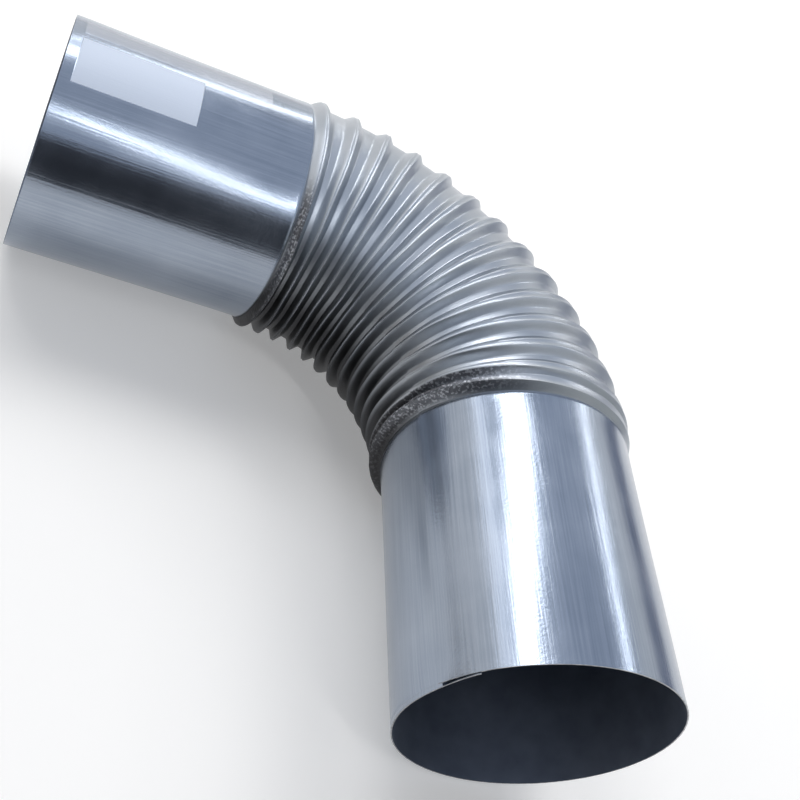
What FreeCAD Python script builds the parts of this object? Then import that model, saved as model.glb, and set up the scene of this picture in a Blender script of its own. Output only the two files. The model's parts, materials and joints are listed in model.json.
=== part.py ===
import FreeCAD, Part

import math
import os

# Galvanized steel pipe elbow, in millimetres and degrees.
# One thin sheet is rolled into a round tube, its long edges lap along one seam, and the tube is folded
# into pleats through a quarter bend. The sheet is one piece from open end to open end.
#
# The origin is the centre of the inlet's open end. The inlet tube runs from there along +Y, the outlet
# tube leaves along -X, and both lie in the XY plane, as the elbow lies when it is put down on its side.
# Angles round the tube count from the outside of the bend, over the top, to the inside at 180.

# Pipe and sheet
PIPE_DIAMETER = 110.0
SHEET_THICKNESS = 0.5

# Bend and straight ends
BEND_RADIUS = 119.0
BEND_ANGLE = 90.0
INLET_LENGTH = 118.0
OUTLET_LENGTH = 114.0

# Lap seam: the outer layer's free edge, how far it covers the inner layer, and the run it rises over
LAP_EDGE_ANGLE = 161.0
LAP_WIDTH = 17.0
LAP_RISE_LENGTH = 28.0

# Pleats: how many, and how far they stand out at the outside and at the inside of the bend
PLEAT_COUNT = 14
PLEAT_HEIGHT_OUTSIDE = 2.75
PLEAT_HEIGHT_INSIDE = 4.5

# The pleat next to the inlet is the closing bead: full inside the bend, and low outside it, where it is
# pressed against its neighbour and the fold between the two is nearly closed
CLOSING_HEIGHT_OUTSIDE = 1.5
CLOSING_HEIGHT_INSIDE = 6.0
CLOSING_FOLD_HEIGHT = 1.0
CLOSING_PITCH_OUTSIDE = 2.6

# First and last crests, as angles from the two ends of the bend. The others share the bend evenly, and
# the closing bead's narrow pitch outside makes them lean a little.
INLET_CREST_OUTSIDE = 1.3
INLET_CREST_INSIDE = 2.8
OUTLET_CREST_OUTSIDE = 2.7
OUTLET_CREST_INSIDE = 2.8

# Each pleat's flank towards the inlet is the steep one. It takes this share of the pitch, and the gentle
# flank towards the outlet takes the rest.
STEEP_SHARE_OUTSIDE = 0.16
STEEP_SHARE_INSIDE = 0.45

RADIUS = PIPE_DIAMETER / 2.0
LAP_START_ANGLE = LAP_EDGE_ANGLE - math.degrees(LAP_WIDTH / RADIUS)
RISE_START_ANGLE = LAP_START_ANGLE - math.degrees(LAP_RISE_LENGTH / RADIUS)
FULL_TURN = 360.0
UP = FreeCAD.Vector(0, 0, 1)
BEND_AXIS = FreeCAD.Vector(-BEND_RADIUS, INLET_LENGTH, 0)


def direction(angle):
    """Level unit vector that points out from the bend's axis at this angle of the bend."""
    return FreeCAD.Vector(math.cos(math.radians(angle)), math.sin(math.radians(angle)), 0)


class Cut:
    """A round cut across the tube, given by its outermost and innermost points seen from the bend's axis."""

    def __init__(self, outside, inside):
        self.centre = (outside + inside) * 0.5
        self.radius = (outside - inside).Length / 2.0
        self.outward = (outside - inside).normalize()

    def point(self, radius, angle):
        turn = math.radians(angle)
        return self.centre + (self.outward * math.cos(turn) + UP * math.sin(turn)) * radius

    def arc(self, start_radius, start_angle, end_radius, end_angle):
        """Arc round the cut's centre, which may move from one radius to another on its way."""
        middle = self.point((start_radius + end_radius) / 2.0, (start_angle + end_angle) / 2.0)
        start = self.point(start_radius, start_angle)
        return Part.Arc(start, middle, self.point(end_radius, end_angle)).toShape()

    def edge(self, angle):
        """Free edge of one layer of the sheet, straight across its thickness."""
        high = self.point(self.radius + SHEET_THICKNESS, angle)
        return Part.LineSegment(high, self.point(self.radius, angle)).toShape()

    def outer_wire(self):
        """Outside of the sheet: the round, the rise over the inner layer, the lap and its free edge."""
        risen = self.radius + SHEET_THICKNESS
        return Part.Wire([
            self.arc(self.radius, LAP_EDGE_ANGLE, self.radius, RISE_START_ANGLE + FULL_TURN),
            self.arc(self.radius, RISE_START_ANGLE, risen, LAP_START_ANGLE),
            self.arc(risen, LAP_START_ANGLE, risen, LAP_EDGE_ANGLE),
            self.edge(LAP_EDGE_ANGLE),
        ])

    def inner_wire(self):
        """Inside of the sheet: the round, the outer layer's rise and the inner layer's free edge."""
        risen = self.radius + SHEET_THICKNESS
        return Part.Wire([
            self.arc(self.radius, LAP_START_ANGLE, self.radius, RISE_START_ANGLE + FULL_TURN),
            self.arc(self.radius, RISE_START_ANGLE, risen, LAP_START_ANGLE),
            self.edge(LAP_START_ANGLE),
        ])


def fold_angles():
    """Crest angles of the pleats outside and inside the bend, and the feet between them, both counted
    from the inlet."""
    even_start = INLET_CREST_OUTSIDE + CLOSING_PITCH_OUTSIDE
    outside_pitch = (BEND_ANGLE - OUTLET_CREST_OUTSIDE - even_start) / (PLEAT_COUNT - 2)
    inside_pitch = (BEND_ANGLE - OUTLET_CREST_INSIDE - INLET_CREST_INSIDE) / (PLEAT_COUNT - 1)
    outside_crests = [INLET_CREST_OUTSIDE]
    outside_crests += [even_start + number * outside_pitch for number in range(PLEAT_COUNT - 1)]
    inside_crests = [INLET_CREST_INSIDE + number * inside_pitch for number in range(PLEAT_COUNT)]
    outside_feet = [
        high - (high - low) * STEEP_SHARE_OUTSIDE for low, high in zip(outside_crests, outside_crests[1:])]
    inside_feet = [
        high - (high - low) * STEEP_SHARE_INSIDE for low, high in zip(inside_crests, inside_crests[1:])]
    return outside_crests, inside_crests, outside_feet, inside_feet


def fold_lines():
    """The sheet's outside along the bend's outer and inner lines, as points of angle and height: plain
    tube, then crest and foot by turns, then plain tube again."""
    outside_crests, inside_crests, outside_feet, inside_feet = fold_angles()
    outer_line = [(0.0, 0.0), (outside_crests[0], CLOSING_HEIGHT_OUTSIDE)]
    inner_line = [(0.0, 0.0), (inside_crests[0], CLOSING_HEIGHT_INSIDE)]
    foot_height = CLOSING_FOLD_HEIGHT
    for number in range(1, PLEAT_COUNT):
        outer_line.append((outside_feet[number - 1], foot_height))
        outer_line.append((outside_crests[number], PLEAT_HEIGHT_OUTSIDE))
        inner_line.append((inside_feet[number - 1], 0.0))
        inner_line.append((inside_crests[number], PLEAT_HEIGHT_INSIDE))
        foot_height = 0.0
    return outer_line + [(BEND_ANGLE, 0.0)], inner_line + [(BEND_ANGLE, 0.0)]


def sheet_line(line, reach, depth):
    """The same line this deep in the sheet, mitred at each fold. reach is the plain tube's distance from
    the bend's axis. Each point comes back as its angle and its height."""
    points = [FreeCAD.Vector(math.radians(angle) * reach, height, 0) for angle, height in line]
    normals = [UP.cross(end - start).normalize() for start, end in zip(points, points[1:])]
    plain = FreeCAD.Vector(0, 1, 0)
    moved = [points[0] - plain * depth]
    for point, before, after in zip(points[1:-1], normals, normals[1:]):
        moved.append(point - (before + after) * (depth / (1.0 + before.dot(after))))
    moved.append(points[-1] - plain * depth)
    return [(math.degrees(point.x / reach), point.y) for point in moved]


def bend_cuts(depth):
    """The cuts through all the folds of the bend, this deep in the sheet: 0 for its outside, and its
    thickness for its inside."""
    outer_reach = BEND_RADIUS + RADIUS
    inner_reach = BEND_RADIUS - RADIUS
    outer_line, inner_line = fold_lines()
    outer_line = sheet_line(outer_line, outer_reach, depth)
    inner_line = sheet_line(inner_line, inner_reach, depth)
    return [
        Cut(BEND_AXIS + direction(outer_angle) * (outer_reach + outer_height),
            BEND_AXIS + direction(inner_angle) * (inner_reach - inner_height))
        for (outer_angle, outer_height), (inner_angle, inner_height) in zip(outer_line, inner_line)]


def skin(wires, inlet_run, outlet_run):
    """One side of the sheet: ruled from cut to cut through the bend, and drawn out straight at both ends."""
    bend = Part.makeLoft(wires, False, True)
    return bend.Faces + wires[0].extrude(inlet_run).Faces + wires[-1].extrude(outlet_run).Faces


def rim(outer_wire, inner_wire, run):
    """Cut edge of the sheet round an open end."""
    return Part.makeFace([outer_wire.translated(run), inner_wire.translated(run)], "Part::FaceMakerBullseye")


def pipe_elbow():
    """The whole sheet as one closed solid: its outside, its inside and the rims of its open ends."""
    inlet_run = direction(-90.0) * INLET_LENGTH
    outlet_run = direction(BEND_ANGLE + 90.0) * OUTLET_LENGTH
    outer_wires = [cut.outer_wire() for cut in bend_cuts(0.0)]
    inner_wires = [cut.inner_wire() for cut in bend_cuts(SHEET_THICKNESS)]
    faces = skin(outer_wires, inlet_run, outlet_run) + skin(inner_wires, inlet_run, outlet_run)
    faces.append(rim(outer_wires[0], inner_wires[0], inlet_run))
    faces.append(rim(outer_wires[-1], inner_wires[-1], outlet_run))
    sheet = Part.makeShell(faces)
    sheet.sewShape()
    return Part.makeSolid(sheet)


os.makedirs("parts", exist_ok=True)
pipe_elbow().exportStep("parts/pipe_elbow.step")
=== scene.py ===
"""Galvanized pipe elbow, lying on its side on a pale studio floor.

The elbow is one zinc-coated sheet: rolled into a round tube, lapped along one seam, and folded into
pleats through a quarter bend. Its lengths are in millimetres until the mesh is made, and the studio's are
in metres. Angles are in degrees, and places are in the model's own frame.
"""

import json
import math

import bpy
import numpy as np
from mathutils import Matrix, Vector


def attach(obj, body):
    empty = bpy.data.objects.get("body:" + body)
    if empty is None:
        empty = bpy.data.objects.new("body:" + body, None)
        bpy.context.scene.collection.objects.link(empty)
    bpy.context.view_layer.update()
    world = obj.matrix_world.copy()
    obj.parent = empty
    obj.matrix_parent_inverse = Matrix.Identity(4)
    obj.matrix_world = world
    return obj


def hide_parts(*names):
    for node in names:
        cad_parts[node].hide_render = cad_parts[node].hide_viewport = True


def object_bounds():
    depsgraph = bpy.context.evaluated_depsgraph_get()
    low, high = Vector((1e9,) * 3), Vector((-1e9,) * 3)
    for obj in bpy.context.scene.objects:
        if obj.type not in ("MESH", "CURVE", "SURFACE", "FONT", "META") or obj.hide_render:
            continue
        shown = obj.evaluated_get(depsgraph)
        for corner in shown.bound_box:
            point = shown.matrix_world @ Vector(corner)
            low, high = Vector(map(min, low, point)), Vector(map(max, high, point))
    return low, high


MM = 0.001

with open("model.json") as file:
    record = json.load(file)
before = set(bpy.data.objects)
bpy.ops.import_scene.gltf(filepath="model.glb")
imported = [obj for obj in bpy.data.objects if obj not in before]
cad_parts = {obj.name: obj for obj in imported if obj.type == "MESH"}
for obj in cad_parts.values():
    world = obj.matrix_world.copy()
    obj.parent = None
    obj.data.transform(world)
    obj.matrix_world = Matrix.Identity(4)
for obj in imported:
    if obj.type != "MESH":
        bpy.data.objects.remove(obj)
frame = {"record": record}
cad_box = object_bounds()
mounts = {mount["name"]: mount for mount in frame["record"]["mounts"]}

# Sizes of the pipe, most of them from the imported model
INLET_LENGTH = mounts["inlet"]["dims"]["length_mm"]
OUTLET_LENGTH = mounts["outlet"]["dims"]["length_mm"]
SHEET_THICKNESS = 0.5
RADIUS = mounts["inlet"]["dims"]["r_mm"] + SHEET_THICKNESS
BEND_RADIUS = -mounts["outlet"]["pos_m"][0] / MM - OUTLET_LENGTH
BEND_ANGLE = 90.0

# Lap seam, whose two layers lie a small gap apart. Angles round the tube count from the outside of the
# bend, over the top, to the inside at 180.
LAP_EDGE_ANGLE = 161.0
LAP_WIDTH = 17.0
LAP_RISE_LENGTH = 28.0
LAP_GAP = 0.12
LAP_START_ANGLE = LAP_EDGE_ANGLE - math.degrees(LAP_WIDTH / RADIUS)
RISE_START_ANGLE = LAP_START_ANGLE - math.degrees(LAP_RISE_LENGTH / RADIUS)
FULL_TURN = 360.0

# Pleats, counted from the inlet. The first is the closing bead. A pair of values is for the outside and
# the inside of the bend. Crests and pitches are angles of the bend.
PLEAT_COUNT = 14
PLEAT_HEIGHTS = (2.75, 4.5)
CLOSING_HEIGHTS = (1.5, 5.8)
CLOSING_FOLD_HEIGHTS = (0.9, 0.6)
INLET_CRESTS = (1.3, 2.8)
OUTLET_CRESTS = (87.3, 87.2)
CLOSING_PITCH_OUTSIDE = 2.6

# Pitches for the closing bead's front flank and for the last pleat, each of which has no neighbour there
REGULAR_PITCHES = (6.98, 6.49)

# How far the closing bead's crest is drawn towards the inlet over the top, and how near its foot may come
# to the start of the bend, as angles of the bend
CLOSING_CREST_DRAW = 0.55
CLOSING_FOOT_LEAST = 0.15

# Shares of the pitch that a pleat's land, gentle flank and steep flank take at the outside, at the
# sides and at the inside of the bend, for the pleats by the inlet and for those by the outlet. The valley
# takes what is left.
LAND_SHARES = ((0.16, 0.40, 0.10), (0.04, 0.12, 0.10))
GENTLE_SHARES = ((0.22, 0.36, 0.32), (0.18, 0.36, 0.34))
STEEP_SHARES = ((0.13, 0.24, 0.32), (0.16, 0.24, 0.32))
CLOSING_LAND_SHARES = (0.50, 0.55, 0.20)
CLOSING_GENTLE_SHARES = (0.16, 0.20, 0.30)
CLOSING_STEEP_SHARES = (0.26, 0.20, 0.30)

# What the dip in the middle of a pleat's land and the slope to its back edge each leave of its height
LAND_DIP = 0.93
LAND_BACK = 0.96

# Share of each flank's rise that is even. The rest eases in and out.
GENTLE_EVEN = 0.5
STEEP_EVEN = 0.6

# Hand-pressed unevenness of the pleats: sideways, and as a share of their height. Both are sums of waves
# with these counts round the tube, which are lower the more there are, by these powers.
WOBBLE_OUTSIDE = 0.15
WOBBLE_INSIDE = 0.55
HEIGHT_UNEVENNESS = 0.07
WOBBLE_WAVES = np.array([1, 2, 3, 5, 8, 13])
WOBBLE_FALL = 0.6
HEIGHT_FALL = 0.8
PLEAT_SEED = 14

# The open inlet end: the sheet is rolled a little askew, so that most of its rim draws back by the skew,
# and the outer layer by a step more at the seam. The layers part there: the outer one flares, and the
# inner one dips, which fades out beside it and along the tube.
RIM_SKEW = 0.3
RIM_SKEW_TURNS = (-120.0, -180.0)
RIM_STEP = 0.35
RIM_STEP_START = 118.0
OUTER_LAYER_FLARE = 0.4
INNER_LAYER_DIP = 0.6
INNER_LAYER_DIP_FADE = 28.0
RIM_GAP_DEPTH = 12.0

# Thin groove near that rim: its distance from the rim, its width and depth, and the turns between which
# it starts and stops
RIM_GROOVE_PLACE = 2.1
RIM_GROOVE_WIDTH = 0.4
RIM_GROOVE_DEPTH = 0.3
RIM_GROOVE_START = (-150.0, -156.0)
RIM_GROOVE_STOP = (-197.0, -199.0)

# Unevenness of the plain tubes. Each wave has a height, a count round the tube, a run along the tube that
# takes it one radian on, and a phase. The first one also swells and fades along the tube, by a run and a
# phase of its own. All fade at the bend and towards the open ends.
TUBE_WAVES = ((0.05, 2.0, 38.0, 0.8), (0.03, 5.0, 21.0, 2.1), (0.02, 9.0, -15.0, 0.0))
TUBE_SWELL_RUN = 27.0
TUBE_SWELL_PHASE = 0.4
WAVES_FADE_BY_BEND = 12.0
WAVES_FADE_BY_RIM = 14.0

# Flare of the plain tubes that leads into the beads
TUBE_FLARE = 0.35
TUBE_FLARE_RUN = 5.0

# Painted shade and scuffed zinc inside the bend, each by the turns between which it grows. Under the
# elbow both fade out again.
UNDER_FADE_TURNS = (225.0, 270.0)

# Painted shade on the flanks and on the crests, how strong the painted shade on the crests is at most,
# and the share of a pleat's height below its crest from which all is flank
FLANK_SHADE_TURNS = (139.0, 188.0)
CREST_SHADE_TURNS = (150.0, 205.0)
CREST_SHADE = 0.9
FLANK_DEPTH = 0.4

# Scuffed zinc of the closing bead and of the last pleat, the height from which it is scuffed in full, and
# the lowest and highest that its pits and burrs reach
CLOSING_SCUFF_TURNS = (104.0, 134.0)
OUTLET_SCUFF_TURNS = (116.0, 136.0)
SCUFFED_HEIGHT = 1.2
SCUFF_RELIEF = (-0.12, 0.06)
SCUFF_SEED = 5

# Steps round the tube, an even number, so that the inside has both edges of the seam, and the angle
# between faces from which an edge stays sharp
AROUND = 208
SHARP_ANGLE = 55.0


def smooth(value):
    """Eases from 0 to 1 with level ends: three times the square less twice the cube."""
    value = np.clip(value, 0.0, 1.0)
    return value * value * (3.0 - 2.0 * value)


def eased(value, start, end):
    """Eases from 0 at the start to 1 at the end, whichever of the two is the higher, by the share of the
    way that the value has come."""
    return smooth((value - start) / (end - start))


def flank(share, even):
    """Rise of a flank at this share of its width: a mix of an even slope and one that eases in and out."""
    return even * share + (1.0 - even) * smooth(share)


def by_side(values, turn):
    """Value that changes round the tube. The place t runs from 0 outside the bend to 1 inside it as half
    of one less the cosine of the turn. Two values are mixed evenly over t; of three, the middle one pulls
    the sides as the control point of a quadratic curve does."""
    t = (1.0 - np.cos(np.radians(turn))) / 2.0
    if len(values) == 2:
        return values[0] * (1.0 - t) + values[1] * t
    return values[0] * (1.0 - t) ** 2 + values[1] * 2.0 * t * (1.0 - t) + values[2] * t ** 2


def waves(random, turn, counts, fall):
    """One uneven closed line round the tube: a sum of sine waves of the given counts per turn, each with
    its own random phase, and lower the more waves it has."""
    phases = random.uniform(0.0, 2.0 * math.pi, len(counts))
    strengths = random.uniform(0.5, 1.0, len(counts)) / counts ** fall
    angles = np.radians(turn)[:, None] * counts[None, :] + phases[None, :]
    return (np.sin(angles) * strengths).sum(axis=1)


def crest_angles():
    """Angles of the pleats' crests along the bend's outer and inner lines, from the inlet. They are evenly
    spaced, but for the closing bead's narrow pitch outside."""
    outside = np.linspace(INLET_CRESTS[0] + CLOSING_PITCH_OUTSIDE, OUTLET_CRESTS[0], PLEAT_COUNT - 1)
    outside = np.concatenate([[INLET_CRESTS[0]], outside])
    inside = np.linspace(INLET_CRESTS[1], OUTLET_CRESTS[1], PLEAT_COUNT)
    return outside, inside


# Rows inside the stretches of a pleat, as shares of each stretch. The sheet's rows are odd in number all
# told, so that the inside, which takes every second one, has both rims.
LAND_ROWS = (0.0, 0.14, 0.32, 0.5, 0.68, 0.86)
GENTLE_ROWS = (0.0, 0.14, 0.33, 0.55, 0.77, 0.92)
VALLEY_ROWS = (0.0, 0.16, 0.5, 0.84)
STEEP_ROWS = (0.0, 0.14, 0.4, 0.68, 0.9)

# Rows of the plain tubes, as distances from the inlet's rim and from the end of the bend
INLET_ROWS = np.array([
    0.0, 0.2, 0.6, 1.1, 1.5, 1.8, 2.1, 2.4, 2.7, 3.1, 3.8, 5.0, 7.0, 10.0, 14.0, 19.0, 25.0, 31.0, 38.0,
    45.0, 52.0, 59.0, 66.0, 73.0, 80.0, 87.0, 93.0, 98.0, 102.0, 105.5, 108.5, 111.0, 113.2, 115.0,
    116.4, 117.4])
OUTLET_ROWS = np.array([
    0.8, 1.8, 3.2, 5.0, 7.2, 10.0, 14.0, 19.0, 25.0, 32.0, 40.0, 48.0, 56.0, 64.0, 72.0, 80.0, 88.0,
    95.0, 101.0, 106.0, 110.0, 112.5, 113.7, 114.0])


class Rows:
    """Every row of the sheet from the inlet's rim to the outlet's: where it lies along the tube, and how
    far it stands out."""

    def __init__(self, turn):
        self.turn = turn
        self.base_outside = []
        self.base_inside = []
        self.height = []
        self.run = []
        self.pleat = []

    def add(self, outside, inside, height, run, pleat):
        """Adds one row. A plain number holds all round the tube."""
        blank = np.zeros_like(self.turn)
        self.base_outside.append(outside + blank)
        self.base_inside.append(inside + blank)
        self.height.append(height + blank)
        self.run.append(run)
        self.pleat.append(pleat)

    def stacked(self):
        """The rows' values, each as one array."""
        return [np.array(rows) for rows in (
            self.base_outside, self.base_inside, self.height, self.run, self.pleat)]


def pleat_profile(land, gentle, steep):
    """Rows of one pleat, from its front edge to the next pleat's: each as its share of the pitch, which
    may change round the tube, and its share of this pleat's height and of the next one's. The land dips
    a little between its two edges, and both flanks ease in and out."""
    valley = 1.0 - land - gentle - steep
    places = []
    here = []
    ahead = []
    for share in LAND_ROWS:
        places.append(land * share)
        dip = 4.0 * share * (1.0 - share) * (1.0 - LAND_DIP)
        here.append(1.0 - dip - share * (1.0 - LAND_BACK))
        ahead.append(0.0)
    for share in GENTLE_ROWS:
        places.append(land + gentle * share)
        here.append(LAND_BACK * (1.0 - flank(share, GENTLE_EVEN)))
        ahead.append(0.0)
    for share in VALLEY_ROWS:
        places.append(land + gentle + valley * share)
        here.append(0.0)
        ahead.append(0.0)
    for share in STEEP_ROWS:
        places.append(land + gentle + valley + steep * share)
        here.append(0.0)
        ahead.append(flank(share, STEEP_EVEN))
    return places, here, ahead


def pleat_shares(number, turn):
    """Shares of the pitch that this pleat's land, gentle flank and steep flank take, for these turns."""
    if number == 0:
        return [by_side(shares, turn) for shares in (
            CLOSING_LAND_SHARES, CLOSING_GENTLE_SHARES, CLOSING_STEEP_SHARES)]
    outlet_share = (number - 1) / (PLEAT_COUNT - 2)
    return [
        by_side(by_inlet, turn) * (1.0 - outlet_share) + by_side(by_outlet, turn) * outlet_share
        for by_inlet, by_outlet in (LAND_SHARES, GENTLE_SHARES, STEEP_SHARES)]


def pleat_lines(turn):
    """The pleats' crests for these turns round the tube, as angles along the bend's outer and inner lines,
    and their heights. Both are uneven, as a hand presses them."""
    random = np.random.default_rng(PLEAT_SEED)
    outside_crests, inside_crests = crest_angles()
    uneven = by_side((WOBBLE_OUTSIDE, WOBBLE_OUTSIDE, WOBBLE_INSIDE), turn)
    outer_lines = []
    inner_lines = []
    heights = []
    for number in range(PLEAT_COUNT):
        shift = waves(random, turn, WOBBLE_WAVES, WOBBLE_FALL) * uneven
        shift = np.degrees(shift / (BEND_RADIUS + RADIUS * np.cos(np.radians(turn))))
        if number == 0:
            shift = shift - CLOSING_CREST_DRAW * np.sin(np.radians(turn)) ** 2
        outer_lines.append(outside_crests[number] + shift)
        inner_lines.append(inside_crests[number] + shift)
        height = by_side(CLOSING_HEIGHTS if number == 0 else PLEAT_HEIGHTS, turn)
        lower = HEIGHT_UNEVENNESS * np.abs(waves(random, turn, WOBBLE_WAVES, HEIGHT_FALL))
        heights.append(height * (1.0 - lower))
    return outer_lines, inner_lines, heights


def sheet_rows(turn):
    """All rows of the sheet's outside, for these turns round the tube. In the bend a row's base runs
    between the crests' uneven lines by its share of the pitch."""
    outer_lines, inner_lines, heights = pleat_lines(turn)
    fold_height = by_side(CLOSING_FOLD_HEIGHTS, turn)
    rows = Rows(turn)
    for place in INLET_ROWS:
        rows.add(0.0, 0.0, 0.0, place - INLET_LENGTH, 0)
    steep = pleat_shares(1, turn)[2]
    foot_outside = np.maximum(outer_lines[0] - steep * REGULAR_PITCHES[0], CLOSING_FOOT_LEAST)
    foot_inside = np.maximum(inner_lines[0] - steep * REGULAR_PITCHES[1], CLOSING_FOOT_LEAST)
    for share in STEEP_ROWS:
        rows.add(
            foot_outside + (outer_lines[0] - foot_outside) * share,
            foot_inside + (inner_lines[0] - foot_inside) * share,
            heights[0] * flank(share, STEEP_EVEN), 0.0, 1)
    for number in range(PLEAT_COUNT - 1):
        land, gentle, steep = pleat_shares(number, turn)
        floor = fold_height if number == 0 else 0.0
        outer_pitch = outer_lines[number + 1] - outer_lines[number]
        inner_pitch = inner_lines[number + 1] - inner_lines[number]
        for place, here, ahead in zip(*pleat_profile(land, gentle, steep)):
            height = floor + (heights[number] - floor) * here + (heights[number + 1] - floor) * ahead
            rows.add(outer_lines[number] + outer_pitch * place, inner_lines[number] + inner_pitch * place,
                     height, 0.0, number + 1)
    land, gentle, steep = pleat_shares(PLEAT_COUNT - 1, turn)
    last = zip(*pleat_profile(land, gentle, steep))
    for place, here, _ in list(last)[:len(LAND_ROWS) + len(GENTLE_ROWS) + 1]:
        outside = np.minimum(outer_lines[-1] + REGULAR_PITCHES[0] * place, BEND_ANGLE)
        inside = np.minimum(inner_lines[-1] + REGULAR_PITCHES[1] * place, BEND_ANGLE)
        rows.add(outside, inside, heights[-1] * here, 0.0, PLEAT_COUNT)
    for place in OUTLET_ROWS:
        rows.add(BEND_ANGLE, BEND_ANGLE, 0.0, place, PLEAT_COUNT + 1)
    return rows.stacked()


def bend_points(angle, reach):
    """Points in the plane of the bend, at these angles of the bend and this far from its axis."""
    angle = np.radians(angle)
    across = reach * np.cos(angle) - BEND_RADIUS
    along = reach * np.sin(angle) + INLET_LENGTH
    return np.stack([across, along, np.zeros_like(angle)], axis=-1)


def sheet_points(turn, outside, inside, height, run, lift):
    """The sheet's outside. Each row is cut across the tube by the circle that has its outermost and
    innermost points as a diameter: centre, plus its radius times the cosine of the turn outward, plus its
    radius times the sine of the turn upward. The height and the lift stand out from there along the same
    direction. Before and beyond the bend the circle is carried straight on by its run."""
    outermost = bend_points(outside, BEND_RADIUS + RADIUS)
    innermost = bend_points(inside, BEND_RADIUS - RADIUS)
    centre = (outermost + innermost) / 2.0
    across = outermost - innermost
    width = np.linalg.norm(across, axis=-1, keepdims=True)
    turned = np.radians(turn)[None, :, None]
    radial = across / width * np.cos(turned) + np.array([0.0, 0.0, 1.0]) * np.sin(turned)
    points = centre + radial * (width / 2.0 + height[..., None] + lift[..., None])
    run_in = np.minimum(run, 0.0)[:, None]
    run_out = np.maximum(run, 0.0)[:, None]
    points[..., 1] += run_in
    points[..., 0] -= run_out
    return points


def layer_lift(turn, run):
    """How far the sheet stands off the round: the outer layer rises by one thickness over the inner one,
    and at the inlet's rim the layers part, the outer one outward and the inner one inward. A thin groove,
    a bell curve across, runs near the rim from the seam's free edge on, round the inside of the bend."""
    rise = eased(turn, RISE_START_ANGLE, LAP_START_ANGLE)
    lift = np.zeros((len(run), len(turn))) + rise * (SHEET_THICKNESS + LAP_GAP)
    depth = np.where(run < 0.0, run + INLET_LENGTH, INLET_LENGTH)[:, None]
    near_rim = 1.0 - smooth(depth / RIM_GAP_DEPTH)
    flare = eased(turn, LAP_START_ANGLE, LAP_EDGE_ANGLE)
    under = turn + FULL_TURN
    dip = eased(under, LAP_START_ANGLE, LAP_EDGE_ANGLE)
    dip = dip * (1.0 - smooth((under - LAP_EDGE_ANGLE) / INNER_LAYER_DIP_FADE))
    lift += near_rim * (flare * OUTER_LAYER_FLARE - dip * INNER_LAYER_DIP)
    groove = np.exp(-((depth - RIM_GROOVE_PLACE) / RIM_GROOVE_WIDTH) ** 2)
    along_groove = eased(turn, *RIM_GROOVE_START) * (1.0 - eased(turn, *RIM_GROOVE_STOP))
    return lift - groove * along_groove * RIM_GROOVE_DEPTH


def rim_skew(turn, run):
    """How far the rows by the inlet's rim draw back: least on the inner layer's side of the seam, most at
    the outer layer's free edge, and fading along the tube."""
    back = RIM_SKEW * (1.0 - eased(turn, *RIM_SKEW_TURNS))
    back = back + RIM_STEP * eased(turn, RIM_STEP_START, LAP_EDGE_ANGLE)
    fade = np.where(run < 0.0, -run / INLET_LENGTH, 0.0)
    return fade[:, None] * back[None, :]


def tube_waviness(turn, run):
    """Slight unevenness of the plain tubes, a tenth of a millimetre or less: a sum of sine waves that run
    round and along each tube, and a small flare that grows exponentially towards the beads."""
    turned = np.radians(turn)[None, :]
    along = run[:, None]
    broad, *fine = [
        height * np.sin(count * turned + along / run_on + phase)
        for height, count, run_on, phase in TUBE_WAVES]
    waviness = broad * np.sin(along / TUBE_SWELL_RUN + TUBE_SWELL_PHASE) + sum(fine)
    from_bend = np.abs(along)
    ends = smooth(from_bend / WAVES_FADE_BY_BEND) * smooth((INLET_LENGTH - from_bend) / WAVES_FADE_BY_RIM)
    flare = np.where(run == 0.0, 0.0, TUBE_FLARE * np.exp(-np.abs(run) / TUBE_FLARE_RUN))
    return waviness * ends + flare[:, None]


def inner_side(turn, start, end):
    """0 on the bend's outside and 1 on its inside. It grows between two turns on the top side, and fades
    out again underneath."""
    place = turn % FULL_TURN
    return eased(place, start, end) * (1.0 - eased(place, *UNDER_FADE_TURNS))


def folded_rows(pleat):
    """1 on the rows of the pleated bend and 0 on those of the plain tubes, which keep their rolled
    finish."""
    return np.where((pleat > 0) & (pleat <= PLEAT_COUNT), 1.0, 0.0)[:, None]


def fold_shade(turn, pleat, height):
    """Share of painted shade in the sheet's colour on the inside of the bend, where the folds are narrow.
    It darkens the flanks and valleys first, and the crests only at the very inside."""
    depth = 1.0 - np.clip(height / by_side(PLEAT_HEIGHTS, turn), 0.0, 1.0)
    below_crest = smooth(depth / FLANK_DEPTH)
    flanks = below_crest * inner_side(turn, *FLANK_SHADE_TURNS)[None, :]
    crests = (1.0 - below_crest) * inner_side(turn, *CREST_SHADE_TURNS)[None, :] * CREST_SHADE
    return folded_rows(pleat) * (flanks + crests)


def scuffed_share(turn, pleat, height):
    """Where the zinc is scuffed rough: the closing bead and the last pleat, both on the inside of the
    bend, and less the lower the sheet stands there."""
    share = np.zeros_like(height)
    for number, turns in ((1, CLOSING_SCUFF_TURNS), (PLEAT_COUNT, OUTLET_SCUFF_TURNS)):
        share = share + np.where(pleat == number, 1.0, 0.0)[:, None] * inner_side(turn, *turns)[None, :]
    return share * np.clip(height / SCUFFED_HEIGHT, 0.0, 1.0)


def grid_normals(points):
    """Unit normals of a grid of points that runs round the tube along its second axis: the cross product
    of the steps round the tube and along it."""
    around = np.gradient(points, axis=1)
    along = np.gradient(points, axis=0)
    normals = np.cross(around, along)
    return normals / np.linalg.norm(normals, axis=-1, keepdims=True)


def quads(index, flip):
    """Faces of a grid of vertices, as four indices each, turned over where flip says so."""
    corners = [index[:-1, :-1], index[:-1, 1:], index[1:, 1:], index[1:, :-1]]
    if flip:
        corners.reverse()
    return np.stack(corners, axis=-1).reshape(-1, 4)


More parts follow.
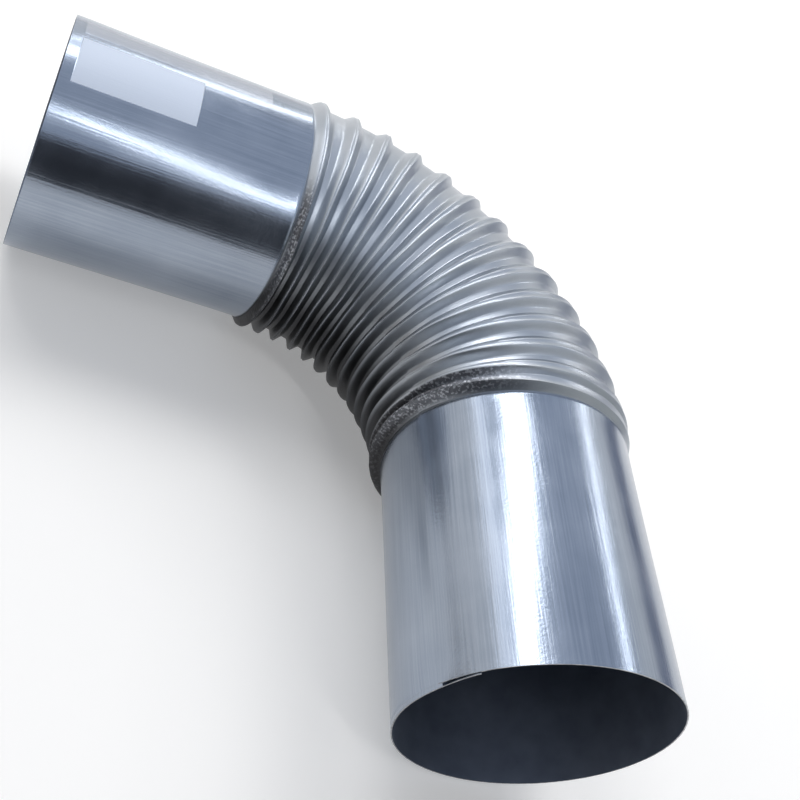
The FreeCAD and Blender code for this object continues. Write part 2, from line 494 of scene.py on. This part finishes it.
def strip(fine, coarse, flip):
    """Triangles between a line of vertices and one that has every second of them: three to each pair."""
    first = np.stack([fine[0:-2:2], fine[1:-1:2], coarse[:-1]], axis=-1)
    second = np.stack([fine[1:-1:2], fine[2::2], coarse[1:]], axis=-1)
    third = np.stack([fine[1:-1:2], coarse[1:], coarse[:-1]], axis=-1)
    faces = np.concatenate([first, second, third])
    return faces[:, ::-1] if flip else faces


def sheet_faces(outer_size, inner_size):
    """Faces of the sheet's outside, of its inside and of its cut edges. The vertices of the outside come
    first, and then those of the inside."""
    count = math.prod(outer_size)
    outer = np.arange(count).reshape(outer_size)
    inner = count + np.arange(math.prod(inner_size)).reshape(inner_size)
    edges = np.concatenate([
        strip(outer[0], inner[0], True),
        strip(outer[-1], inner[-1], False),
        strip(outer[:, 0], inner[:, 0], False),
        strip(outer[:, -1], inner[:, -1], True)])
    return quads(outer, False), quads(inner, True), edges


def lay_flat(mesh, turn, outer):
    """Gives the mesh its places on the flat sheet, in metres: the length round the tube from the bend's
    outer line, and the length along the tube from the outlet's rim, taken along the middle column."""
    around = np.radians(turn) * RADIUS * MM
    step = np.linalg.norm(np.diff(outer[:, outer.shape[1] // 2], axis=0), axis=-1)
    along = np.concatenate([[0.0], np.cumsum(step)])
    along = (along[-1] - along) * MM
    place = np.stack(np.broadcast_arrays(around[None, :], along[:, None]), axis=-1)
    place = np.concatenate([place.reshape(-1, 2), place[::2, ::2].reshape(-1, 2)])
    corner = np.empty(len(mesh.loops), np.int32)
    mesh.loops.foreach_get("vertex_index", corner)
    uv = mesh.uv_layers.new(name="sheet")
    uv.data.foreach_set("uv", place[corner].astype(np.float32).ravel())


def add_share(mesh, name, share):
    """Keeps a share with every vertex of the outside, and with those of the inside under them."""
    values = np.concatenate([share.ravel(), share[::2, ::2].ravel()])
    layer = mesh.attributes.new(name, "FLOAT", "POINT")
    layer.data.foreach_set("value", values.astype(np.float32))


def elbow_sheet():
    """The whole sheet as one closed mesh: its outside, its inside one thickness below along the normals
    at every second row and column, and the cut edges between the two. The inside's end rows stay in the
    planes of the rims."""
    turn = np.linspace(LAP_EDGE_ANGLE, LAP_START_ANGLE - FULL_TURN, AROUND + 1)
    outside, inside, height, run, pleat = sheet_rows(turn)
    scuffed = scuffed_share(turn, pleat, height)
    random = np.random.default_rng(SCUFF_SEED)
    lift = layer_lift(turn, run) + tube_waviness(turn, run)
    lift = lift + scuffed * random.uniform(*SCUFF_RELIEF, scuffed.shape)
    outer = sheet_points(turn, outside, inside, height, run, lift)
    outer[..., 1] += rim_skew(turn, run)
    inner = (outer - grid_normals(outer) * SHEET_THICKNESS)[::2, ::2]
    inner[0, :, 1] = outer[0, ::2, 1]
    inner[-1, :, 0] = outer[-1, ::2, 0]

    parts = sheet_faces(outer.shape[:2], inner.shape[:2])
    vertices = np.concatenate([outer.reshape(-1, 3), inner.reshape(-1, 3)]) * MM
    mesh = bpy.data.meshes.new("pipe_elbow_sheet")
    mesh.from_pydata(vertices.tolist(), [], [face.tolist() for part in parts for face in part])
    mesh.polygons.foreach_set("use_smooth", np.ones(len(mesh.polygons), bool))
    finish = np.repeat([0, 1, 2], [len(part) for part in parts])
    mesh.polygons.foreach_set("material_index", finish.astype(np.int32))
    lay_flat(mesh, turn, outer)
    add_share(mesh, "scuffed", scuffed)
    # The share of painted shade that darkens the folds inside the bend
    add_share(mesh, "fold_shade", fold_shade(turn, pleat, height))
    add_share(mesh, "bend", folded_rows(pleat) * np.ones_like(scuffed))
    mesh.update()
    mesh.set_sharp_from_angle(angle=math.radians(SHARP_ANGLE))
    piece = bpy.data.objects.new("pipe_elbow_sheet", mesh)
    bpy.context.scene.collection.objects.link(piece)
    return piece


def linear(code):
    """Linear colour of an sRGB hex value."""
    parts = [int(code[place:place + 2], 16) / 255.0 for place in (1, 3, 5)]
    parts = [part / 12.92 if part <= 0.04045 else ((part + 0.055) / 1.055) ** 2.4 for part in parts]
    return (*parts, 1.0)


def node(tree, kind, settings=None, **links):
    """Adds one node: its settings by name, and its inputs as values or as other nodes' outputs. An input goes
    by its name, with _ for a space, or by its number after an i."""
    made = tree.nodes.new(kind)
    for name, value in (settings or {}).items():
        setattr(made, name, value)
    for name, value in links.items():
        key = int(name[1:]) if name[0] == "i" and name[1:].isdigit() else name.replace("_", " ")
        if isinstance(value, bpy.types.NodeSocket):
            tree.links.new(value, made.inputs[key])
        else:
            made.inputs[key].default_value = value
    return made


def new_material(name):
    """An empty material with nodes, and its node tree."""
    material = bpy.data.materials.new(name)
    material.use_nodes = True
    material.node_tree.nodes.clear()
    return material, material.node_tree


# The blank label and the strip of clear tape beside it on the outlet tube: their turns round the tube, how
# far from the open end they start and stop, the width over which their edges fade, and their thickness
LABEL_TURNS = (88.0, 115.5)
LABEL_RUN = (5.0, 60.5)
TAPE_TURNS = (69.0, 84.0)
TAPE_RUN = (5.0, 93.0)
FILM_EDGE = 0.35
FILM_THICKNESS = 0.08

# Patterns of the rolled sheet. Real rolling marks are a few tenths of a millimetre wide, and are drawn as
# coarse as they need to be to show. Marks and bands have a width and a length along the tube.
MARK_SIZE = (0.9, 60.0)
BAND_SIZE = (5.0, 150.0)
SMUDGE_SIZE = 35.0
SPANGLE_SIZE = 1.1
SPECK_SIZE = 1.3

# Depths of these patterns in the surface
MARK_DEPTH = 0.04
BAND_DEPTH = 0.03
SPANGLE_DEPTH = 0.028
PIT_DEPTH = 0.2

# Stretches of each pattern that take its share from 0 to 1
SMUDGE_SPAN = (0.35, 0.68)
MARK_SPAN = (0.3, 0.7)
SPECK_SPAN = (0.5, 0.64)
GLOSS_SPAN = (0.3, 0.7)

# Tones: rolled zinc on the tubes, worked zinc on the folds, scuffed zinc, the painted shade in the folds,
# and the veil of the tape
ROLLED_TONES = ("#8B95A3", "#A7AFBB")
FOLDED_TONES = ("#ABB1B8", "#BDC1C6")
SCUFFED_TONES = ("#6F7176", "#BCBFC4")
# The painted shade: a dark tone mixed into the folds inside the bend, and how much of it at most
PAINTED_SHADE_TONE = "#2A2828"
PAINTED_SHADE_SHARE = 0.92
TAPE_TONE = "#DADDE6"
TAPE_SHARE = 0.3
LABEL_TONE = "#D0DAEA"

# Roughness of the same
ROLLED_ROUGHNESS = (0.18, 0.26)
FOLDED_ROUGHNESS = 0.36
WORN_ROUGHNESS = 0.42
LABEL_ROUGHNESS = 0.42


def patch_mask(tree, around, along, turns, run):
    """1 inside a rectangle on the flat sheet and 0 outside it, with edges as sharp as a cut film's: the
    distance inward from the nearest of its four sides, over the edge's width."""
    inward = []
    for value, (low, high) in ((around, [math.radians(turn) * RADIUS for turn in turns]), (along, run)):
        middle = (low + high) / 2.0 * MM
        half = (high - low) / 2.0 * MM
        offset = node(tree, "ShaderNodeMath", {"operation": "SUBTRACT"}, i0=value, i1=middle)
        away = node(tree, "ShaderNodeMath", {"operation": "ABSOLUTE"}, i0=offset.outputs[0])
        inward.append(node(tree, "ShaderNodeMath", {"operation": "SUBTRACT"}, i0=half, i1=away.outputs[0]))
    nearest = node(tree, "ShaderNodeMath", {"operation": "MINIMUM"},
                   i0=inward[0].outputs[0], i1=inward[1].outputs[0])
    return node(tree, "ShaderNodeMapRange", Value=nearest.outputs[0], From_Min=0.0,
                From_Max=FILM_EDGE * MM).outputs[0]


def mixed(tree, share, first, second):
    """Colour that goes from the first to the second with the share. Each is a hex value or an output."""
    mix = node(tree, "ShaderNodeMix", {"data_type": "RGBA"}, Factor=share)
    for name, colour in (("A", first), ("B", second)):
        if isinstance(colour, str):
            mix.inputs[name].default_value = linear(colour)
        else:
            tree.links.new(colour, mix.inputs[name])
    return mix.outputs["Result"]


def sheet_patterns(tree):
    """Patterns, wear and painted shade of the sheet, each as an output: marks and bands drawn out along the
    flat sheet, smudges, spangle and specks in the solid, the mesh's own shares of scuffs, painted shade and
    bend, and the label and the tape."""
    place = node(tree, "ShaderNodeUVMap", {"uv_map": "sheet"}).outputs["UV"]
    solid = node(tree, "ShaderNodeTexCoord").outputs["Object"]
    sheet = {}
    for name in ("scuffed", "fold_shade", "bend"):
        sheet[name] = node(tree, "ShaderNodeAttribute", {"attribute_name": name}).outputs["Fac"]
    for name, (width, length), detail in (("marks", MARK_SIZE, 3.0), ("bands", BAND_SIZE, 2.0)):
        scale = (1.0 / (width * MM), 1.0 / (length * MM), 1.0)
        drawn_out = node(tree, "ShaderNodeMapping", Vector=place, Scale=scale).outputs[0]
        sheet[name] = node(tree, "ShaderNodeTexNoise", Vector=drawn_out, Scale=1.0, Detail=detail).outputs[0]
    for name, size, detail in (
            ("smudges", SMUDGE_SIZE, 4.0), ("spangle", SPANGLE_SIZE, 2.0), ("specks", SPECK_SIZE, 2.0)):
        scale = 1.0 / (size * MM)
        sheet[name] = node(tree, "ShaderNodeTexNoise", Vector=solid, Scale=scale, Detail=detail).outputs[0]
    split = node(tree, "ShaderNodeSeparateXYZ", Vector=place).outputs
    sheet["label"] = patch_mask(tree, split["X"], split["Y"], LABEL_TURNS, LABEL_RUN)
    sheet["tape"] = patch_mask(tree, split["X"], split["Y"], TAPE_TURNS, TAPE_RUN)
    return sheet


def sheet_tone(tree, sheet, painted_shade):
    """Colour of the sheet: bluish rolled zinc on the tubes, paler on the folds, both mottled, then speckled
    scuffs, painted shade in the folds, the tape's faint veil and the pale label, each over the last."""
    smudged = node(tree, "ShaderNodeMapRange", Value=sheet["smudges"],
                   From_Min=SMUDGE_SPAN[0], From_Max=SMUDGE_SPAN[1])
    marked = node(tree, "ShaderNodeMapRange", Value=sheet["marks"],
                  From_Min=MARK_SPAN[0], From_Max=MARK_SPAN[1])
    rolled = node(tree, "ShaderNodeMix", Factor=0.5, A=smudged.outputs[0], B=marked.outputs[0])
    speckled = node(tree, "ShaderNodeMapRange", Value=sheet["specks"],
                    From_Min=SPECK_SPAN[0], From_Max=SPECK_SPAN[1])
    colour = mixed(tree, rolled.outputs[0], *ROLLED_TONES)
    colour = mixed(tree, sheet["bend"], colour, mixed(tree, smudged.outputs[0], *FOLDED_TONES))
    colour = mixed(tree, sheet["scuffed"], colour, mixed(tree, speckled.outputs[0], *SCUFFED_TONES))
    # Painted shade: the folds inside the bend darkened towards a dark tone
    colour = mixed(tree, painted_shade, colour, PAINTED_SHADE_TONE)
    veil = node(tree, "ShaderNodeMath", {"operation": "MULTIPLY"}, i0=sheet["tape"], i1=TAPE_SHARE)
    colour = mixed(tree, veil.outputs[0], colour, TAPE_TONE)
    return mixed(tree, sheet["label"], colour, LABEL_TONE)


def sheet_roughness(tree, sheet, painted_shade):
    """Roughness of the sheet: satin on the tubes, by the smudges, and rougher on the folds, where it is
    scuffed or where shade is painted, and on the label."""
    satin = node(tree, "ShaderNodeMapRange", Value=sheet["smudges"],
                 From_Min=GLOSS_SPAN[0], From_Max=GLOSS_SPAN[1],
                 To_Min=ROLLED_ROUGHNESS[0], To_Max=ROLLED_ROUGHNESS[1])
    clean = node(tree, "ShaderNodeMix", Factor=sheet["bend"], A=satin.outputs[0], B=FOLDED_ROUGHNESS)
    worn = node(tree, "ShaderNodeMath", {"operation": "MAXIMUM"}, i0=sheet["scuffed"], i1=painted_shade)
    rough = node(tree, "ShaderNodeMapRange", Value=worn.outputs[0], To_Min=clean.outputs[0],
                 To_Max=WORN_ROUGHNESS)
    rough = node(tree, "ShaderNodeMix", Factor=sheet["label"], A=rough.outputs[0], B=LABEL_ROUGHNESS)
    return rough.outputs[0]


def sheet_relief(tree, sheet):
    """Fine relief of the sheet: one bump on another for its marks, bands and spangle, for the pits where
    it is scuffed, and for the thickness of the label and the tape."""
    pitted = node(tree, "ShaderNodeMath", {"operation": "MULTIPLY"}, i0=sheet["specks"], i1=sheet["scuffed"])
    films = node(tree, "ShaderNodeMath", {"operation": "ADD"}, i0=sheet["label"], i1=sheet["tape"])
    relief = {}
    for height, depth in (
            (sheet["marks"], MARK_DEPTH), (sheet["bands"], BAND_DEPTH), (sheet["spangle"], SPANGLE_DEPTH),
            (pitted.outputs[0], PIT_DEPTH), (films.outputs[0], FILM_THICKNESS)):
        bump = node(tree, "ShaderNodeBump", Height=height, Distance=depth * MM, Strength=1.0, **relief)
        relief = {"Normal": bump.outputs[0]}
    return relief["Normal"]


def galvanized_outside():
    """Hot-dip galvanized sheet, cold rolled and handled: a blue-grey satin metal. Fine lengthwise rolling
    marks draw its highlights out, and soft smudges and a faint spangle break them up. Scuffed zinc on the
    end beads is rough and speckled, the folds inside the bend are rough and darkened by painted shade,
    and a blank label and a strip of clear tape lie on the outlet tube."""
    material, tree = new_material("galvanized_steel_rolled")
    sheet = sheet_patterns(tree)
    # Share of painted shade in the folds inside the bend, which also makes them rougher
    painted_shade = node(tree, "ShaderNodeMath", {"operation": "MULTIPLY"}, i0=sheet["fold_shade"], i1=PAINTED_SHADE_SHARE)
    metal = node(tree, "ShaderNodeMath", {"operation": "SUBTRACT"}, i0=1.0, i1=sheet["label"])
    steel = node(tree, "ShaderNodeBsdfPrincipled", Metallic=metal.outputs[0],
                 Base_Color=sheet_tone(tree, sheet, painted_shade.outputs[0]),
                 Roughness=sheet_roughness(tree, sheet, painted_shade.outputs[0]), Normal=sheet_relief(tree, sheet))
    node(tree, "ShaderNodeOutputMaterial", Surface=steel.outputs[0])
    return material


# The inside of the tube: patches of oxide of this size and depth
OXIDE_SIZE = 12.0
OXIDE_DEPTH = 0.1
OXIDE_SPAN = (0.3, 0.7)
INSIDE_TONES = ("#6C7483", "#7A8290")
INSIDE_ROUGHNESS = 0.6

# The cut edge: strokes of this size that the shears left
STROKE_SIZE = 1.5
STROKE_SPAN = (0.35, 0.65)
EDGE_TONES = ("#8A8C8F", "#BEBFC1")
EDGE_ROUGHNESS = 0.4


def dull_inside():
    """The inside of the tube: bare zinc gone dull and dark, so that it swallows most of the light that
    reaches it."""
    material, tree = new_material("galvanized_steel_dull_inside")
    solid = node(tree, "ShaderNodeTexCoord").outputs["Object"]
    oxide = node(tree, "ShaderNodeTexNoise", Vector=solid, Scale=1.0 / (OXIDE_SIZE * MM), Detail=4.0)
    share = node(tree, "ShaderNodeMapRange", Value=oxide.outputs[0],
                 From_Min=OXIDE_SPAN[0], From_Max=OXIDE_SPAN[1])
    tone = mixed(tree, share.outputs[0], *INSIDE_TONES)
    bump = node(tree, "ShaderNodeBump", Height=oxide.outputs[0], Distance=OXIDE_DEPTH * MM, Strength=1.0)
    zinc = node(tree, "ShaderNodeBsdfPrincipled", Metallic=1.0, Roughness=INSIDE_ROUGHNESS, Base_Color=tone,
                Normal=bump.outputs[0])
    node(tree, "ShaderNodeOutputMaterial", Surface=zinc.outputs[0])
    return material


def cut_edge():
    """Sheared edge of the sheet: bright bare steel, mottled by the strokes of the shears."""
    material, tree = new_material("steel_sheared_edge")
    solid = node(tree, "ShaderNodeTexCoord").outputs["Object"]
    strokes = node(tree, "ShaderNodeTexNoise", Vector=solid, Scale=1.0 / (STROKE_SIZE * MM), Detail=2.0)
    share = node(tree, "ShaderNodeMapRange", Value=strokes.outputs[0],
                 From_Min=STROKE_SPAN[0], From_Max=STROKE_SPAN[1])
    tone = mixed(tree, share.outputs[0], *EDGE_TONES)
    steel = node(tree, "ShaderNodeBsdfPrincipled", Metallic=1.0, Roughness=EDGE_ROUGHNESS, Base_Color=tone)
    node(tree, "ShaderNodeOutputMaterial", Surface=steel.outputs[0])
    return material


def white_to_lens_and_metal(tree, level):
    """This level where a ray comes from the camera, from a reflection or through glass, and 0 elsewhere."""
    path = node(tree, "ShaderNodeLightPath").outputs
    seen = node(tree, "ShaderNodeMath", {"operation": "MAXIMUM"},
                i0=path["Is Camera Ray"], i1=path["Is Glossy Ray"])
    seen = node(tree, "ShaderNodeMath", {"operation": "MAXIMUM"},
                i0=seen.outputs[0], i1=path["Is Transmission Ray"])
    return node(tree, "ShaderNodeMath", {"operation": "MULTIPLY"}, i0=seen.outputs[0], i1=level).outputs[0]


# Floor, in metres but for its clearance under the elbow, which is in millimetres. It glows a little.
FLOOR_RADIUS = 6.0
FLOOR_SIDES = 96
FLOOR_CLEARANCE = 0.1
FLOOR_GLOW = 0.23
FLOOR_TONE = "#F0EEEB"

# The middle of the elbow, which the lamps face and the screens stand round
MIDDLE = Vector((-BEND_RADIUS / 2.0, INLET_LENGTH, 0.0)) * MM


def studio_floor():
    """Pale matt floor: a wide round disc just under the elbow. It glows a little for the camera and in the
    metal, so that it is white away from the elbow and still takes the elbow's shadow."""
    bpy.ops.mesh.primitive_circle_add(
        vertices=FLOOR_SIDES, radius=FLOOR_RADIUS, fill_type="NGON",
        location=(0, 0, cad_box[0].z - FLOOR_CLEARANCE * MM))
    floor = bpy.context.object
    floor.name = "studio_floor"
    material, tree = new_material("pale_floor")
    matt = node(tree, "ShaderNodeBsdfDiffuse", Color=linear(FLOOR_TONE))
    glow = node(tree, "ShaderNodeEmission", Color=linear("#FFFFFF"),
                Strength=white_to_lens_and_metal(tree, FLOOR_GLOW))
    both = node(tree, "ShaderNodeAddShader", i0=matt.outputs[0], i1=glow.outputs[0])
    node(tree, "ShaderNodeOutputMaterial", Surface=both.outputs[0])
    floor.data.materials.append(material)


# The room's light: how much of it reaches matt surfaces, which leaves the shadows to the lamps, and the
# heights, as sines, over which white walls turn to a pale blue-grey ceiling
ROOM_LIGHT_SHARE = 0.45
WALL_TOP = 0.42
CEILING_START = 0.68
WALL_TONE = "#FFFFFF"
CEILING_TONE = "#C8D1E1"


def studio_room():
    """The room round the elbow: white walls, and a pale blue-grey ceiling above."""
    world = bpy.data.worlds.new("studio_room")
    bpy.context.scene.world = world
    world.use_nodes = True
    tree = world.node_tree
    tree.nodes.clear()
    direction = node(tree, "ShaderNodeTexCoord").outputs["Generated"]
    rise = node(tree, "ShaderNodeSeparateXYZ", Vector=direction).outputs["Z"]
    ceiling = node(tree, "ShaderNodeMapRange", {"interpolation_type": "SMOOTHSTEP"}, Value=rise,
                   From_Min=WALL_TOP, From_Max=CEILING_START)
    colour = mixed(tree, ceiling.outputs[0], WALL_TONE, CEILING_TONE)
    seen = white_to_lens_and_metal(tree, 1.0 - ROOM_LIGHT_SHARE)
    level = node(tree, "ShaderNodeMath", {"operation": "ADD"}, i0=seen, i1=ROOM_LIGHT_SHARE)
    back = node(tree, "ShaderNodeBackground", Color=colour, Strength=level.outputs[0])
    node(tree, "ShaderNodeOutputWorld", Surface=back.outputs[0])


def toward(heading, rise):
    """Unit vector at this heading, counted from +Y towards +X, and this far above the level."""
    heading, rise = math.radians(heading), math.radians(rise)
    return Vector((math.sin(heading) * math.cos(rise), math.cos(heading) * math.cos(rise), math.sin(rise)))


# How far the soft boxes stand, in metres, and the steps of a screen's arc
LAMP_DISTANCE = 1.5
FLOOR_LAMP_DISTANCE = 2.0
SCREEN_STEPS = 25


def soft_box(name, heading, rise, width, height, level, roll=0.0, distance=LAMP_DISTANCE):
    """Rectangular lamp that faces the middle of the elbow. Its level is its brightness, where 1 is the
    white of the floor, and its power is that level times pi times its area."""
    light = bpy.data.lights.new(name, "AREA")
    light.shape = "RECTANGLE"
    light.size = width
    light.size_y = height
    light.energy = level * math.pi * width * height
    lamp = bpy.data.objects.new(name, light)
    bpy.context.scene.collection.objects.link(lamp)
    away = toward(heading, rise)
    turned = away.to_track_quat("Z", "Y").to_matrix().to_4x4()
    rolled = Matrix.Rotation(math.radians(roll), 4, "Z")
    lamp.matrix_world = Matrix.Translation(MIDDLE + away * distance) @ turned @ rolled
    lamp.visible_camera = False
    return lamp


def studio_lights():
    """Five soft boxes that the metal shows, and one high soft box that only lights the matt surfaces."""
    soft_box("key_lamp", heading=-33.0, rise=54.0, width=0.95, height=0.26, level=7.0, roll=5.0)
    soft_box("side_lamp", heading=56.0, rise=38.0, width=0.62, height=0.065, level=7.5, roll=-39.0)
    soft_box("top_lamp", heading=2.0, rise=30.0, width=0.60, height=0.06, level=10.0, roll=40.0)
    soft_box("front_lamp", heading=172.0, rise=60.5, width=0.75, height=0.06, level=13.5, roll=-54.0)
    soft_box("window_panel", heading=-52.0, rise=37.0, width=0.70, height=0.24, level=1.4, roll=14.0)
    floor_lamp = soft_box("floor_lamp", heading=35.0, rise=50.0, width=1.0, height=1.0, level=5.0,
                          distance=FLOOR_LAMP_DISTANCE)
    floor_lamp.visible_glossy = False


def screen(name, headings, top, distance, tone):
    """Upright curved cloth screen: an arc round the middle of the elbow between two headings, from the
    floor up to this rise, seen only in the metal."""
    heading = np.radians(np.linspace(*headings, SCREEN_STEPS))
    rim = np.stack([np.sin(heading), np.cos(heading)], axis=-1) * distance
    foot = cad_box[0].z
    head = math.tan(math.radians(top)) * distance
    low = np.column_stack([rim, np.full(len(rim), foot)])
    high = np.column_stack([rim, np.full(len(rim), head)])
    points = np.concatenate([low, high]) + np.array([MIDDLE.x, MIDDLE.y, 0.0])
    first = np.arange(len(rim) - 1)
    faces = np.stack([first, first + 1, first + 1 + len(rim), first + len(rim)], axis=-1)
    mesh = bpy.data.meshes.new(name)
    mesh.from_pydata(points.tolist(), [], faces.tolist())
    wall = bpy.data.objects.new(name, mesh)
    bpy.context.scene.collection.objects.link(wall)
    material, tree = new_material(name + "_cloth")
    cloth = node(tree, "ShaderNodeBsdfDiffuse", Color=linear(tone))
    node(tree, "ShaderNodeOutputMaterial", Surface=cloth.outputs[0])
    mesh.materials.append(material)
    wall.visible_camera = False
    wall.visible_diffuse = False
    wall.visible_shadow = False


def studio_screens():
    """Cloth screens that give the metal its dark sides. They stand from the camera's left round behind it to
    its right: warm grey, grey, black, and then three paler greys."""
    screen("left_screen", headings=(-72.0, -118.0), top=14.0, distance=1.0, tone="#A0958B")
    screen("dark_screen", headings=(-118.0, -163.0), top=36.0, distance=0.8, tone="#8C8D90")
    screen("black_screen", headings=(-163.0, -191.0), top=42.0, distance=0.8, tone="#3A3B40")
    screen("shade_screen", headings=(169.0, 160.0), top=38.0, distance=0.8, tone="#77787B")
    screen("back_screen", headings=(160.0, 100.0), top=30.0, distance=1.1, tone="#C4C8C8")
    screen("right_screen", headings=(100.0, 35.0), top=13.0, distance=1.3, tone="#98A1B8")


# Camera, as the photograph was taken: its place in metres, its heading, drop and roll, and its framing
CAMERA_PLACE = (-0.23654, -0.15879, 0.32492)
CAMERA_HEADING = 24.24
CAMERA_DROP = 40.60
CAMERA_ROLL = 34.31
CAMERA_LENS = 47.66
CAMERA_SENSOR = 36.0
CAMERA_SHIFT = (0.0755, -0.1178)
CAMERA_NEAR = 0.01


def camera():
    """The camera: rolled about its own axis, tipped down from the level, and then turned to its heading."""
    view = bpy.data.cameras.new("camera")
    view.lens = CAMERA_LENS
    view.sensor_width = CAMERA_SENSOR
    view.shift_x, view.shift_y = CAMERA_SHIFT
    view.clip_start = CAMERA_NEAR
    holder = bpy.data.objects.new("camera", view)
    bpy.context.scene.collection.objects.link(holder)
    turned = Matrix.Rotation(math.radians(-CAMERA_HEADING), 4, "Z")
    turned = turned @ Matrix.Rotation(math.radians(90.0 - CAMERA_DROP), 4, "X")
    turned = turned @ Matrix.Rotation(math.radians(CAMERA_ROLL), 4, "Z")
    holder.matrix_world = Matrix.Translation(CAMERA_PLACE) @ turned
    bpy.context.scene.camera = holder


bpy.context.scene.view_settings.view_transform = "Standard"
sheet = elbow_sheet()
for finish in (galvanized_outside(), dull_inside(), cut_edge()):
    sheet.data.materials.append(finish)
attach(sheet, "root")
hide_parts("pipe_elbow")

studio_floor()
studio_room()
studio_lights()
studio_screens()
camera()
